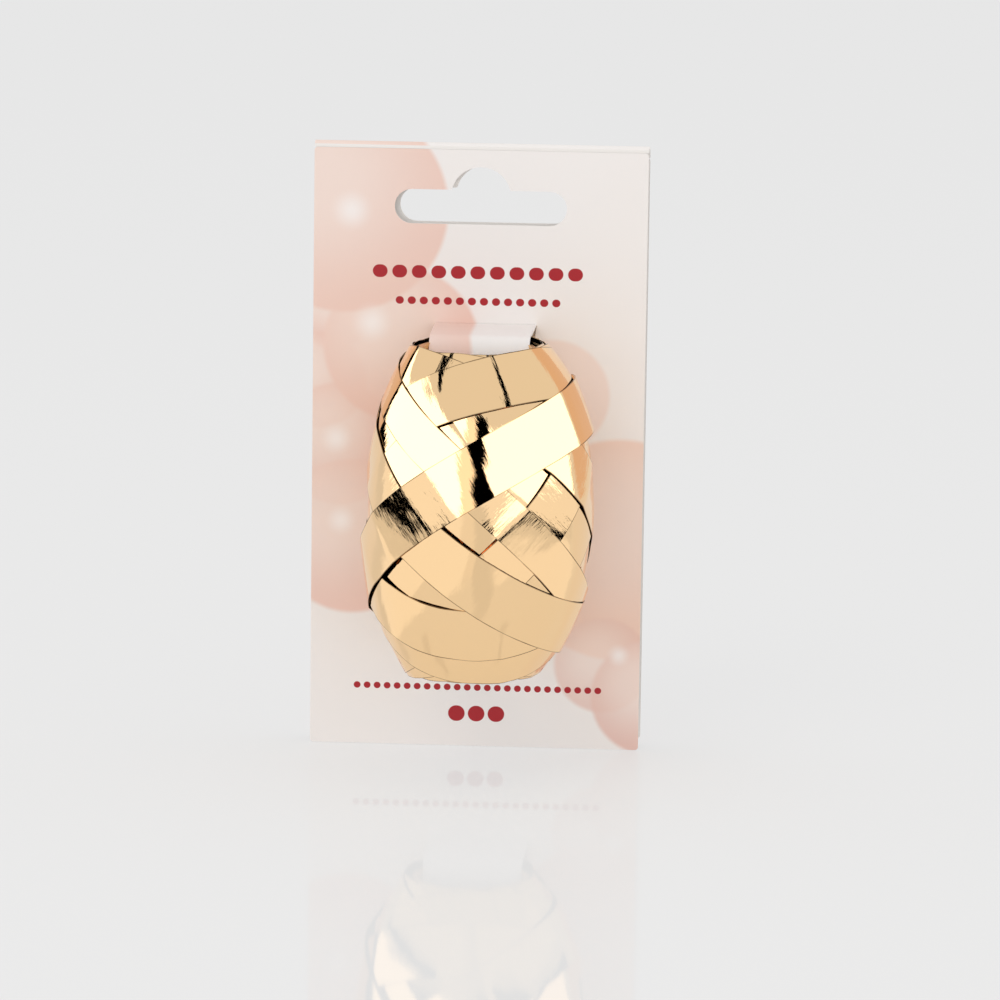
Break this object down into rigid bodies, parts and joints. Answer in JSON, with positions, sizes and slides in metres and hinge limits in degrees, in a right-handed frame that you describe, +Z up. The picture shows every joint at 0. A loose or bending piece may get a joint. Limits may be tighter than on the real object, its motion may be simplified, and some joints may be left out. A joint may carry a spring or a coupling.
{
  "type": "ribbon egg on hang card",
  "caption": "Metallic curling ribbon wound into a hollow egg, held by folded tongues on a printed hang card with a hanging slot.",
  "frame": {"origin": "middle of the hang slot, half way through the front panel's thickness", "axes": "+Z up along the front panel, -Y out of its printed front towards the viewer, +X to the viewer's right"},
  "size_m": [0.0622, 0.0482, 0.114],
  "materials": {
    "gold_foil_ribbon": "metallised gold film, mirror bright with fine crosswise lines",
    "gold_foil_inner": "metallised gold film, inner turns",
    "printed_card": "printed coated card, satin",
    "card_reverse": "uncoated card, matt"
  },
  "bodies": {
    "card": {"card_front_panel": "printed_card", "card_top_fold": "printed_card"},
    "back_panel": {"card_back_panel": "card_reverse"},
    "top_tongue": {"top_tongue": "printed_card"},
    "bottom_tongue": {"bottom_tongue": "printed_card"},
    "ribbon_egg": {"ribbon_core": "gold_foil_inner", "rim_lay_01": "gold_foil_ribbon", "rim_lay_02": "gold_foil_ribbon", "rim_lay_03": "gold_foil_ribbon", "rim_lay_04": "gold_foil_ribbon", "rim_lay_05": "gold_foil_ribbon", "rim_lay_06": "gold_foil_ribbon", "belly_lay_01": "gold_foil_ribbon", "belly_lay_02": "gold_foil_ribbon", "belly_lay_03": "gold_foil_ribbon", "belly_lay_04": "gold_foil_ribbon", "belly_lay_05": "gold_foil_ribbon", "belly_lay_06": "gold_foil_ribbon", "belly_lay_07": "gold_foil_ribbon", "belly_lay_08": "gold_foil_ribbon", "belly_lay_09": "gold_foil_ribbon", "belly_lay_10": "gold_foil_ribbon"}
  },
  "joints": [
    {"name": "card_fold", "type": "hinge", "parent": "card", "child": "back_panel", "pos_m": [0, 0.0007, 0.011], "axis": [1, 0, 0], "range_deg": [-2, 178], "stiffness_Nm_per_rad": 0.003, "springref_deg": 0.8},
    {"name": "top_tongue_fold", "type": "hinge", "parent": "card", "child": "top_tongue", "pos_m": [0.0012, -0.0002, -0.0219], "axis": [-1, 0, 0], "range_deg": [0, 75], "stiffness_Nm_per_rad": 0.001, "springref_deg": -1.15},
    {"name": "bottom_tongue_fold", "type": "hinge", "parent": "card", "child": "bottom_tongue", "pos_m": [0.0012, -0.0002, -0.0837], "axis": [1, 0, 0], "range_deg": [0, 75], "stiffness_Nm_per_rad": 0.001, "springref_deg": -2.29},
    {"name": "egg_spin", "type": "hinge", "parent": "card", "child": "ribbon_egg", "pos_m": [0.0012, -0.0222, -0.0528], "axis": [0, 0, 1], "continuous": true}
  ]
}
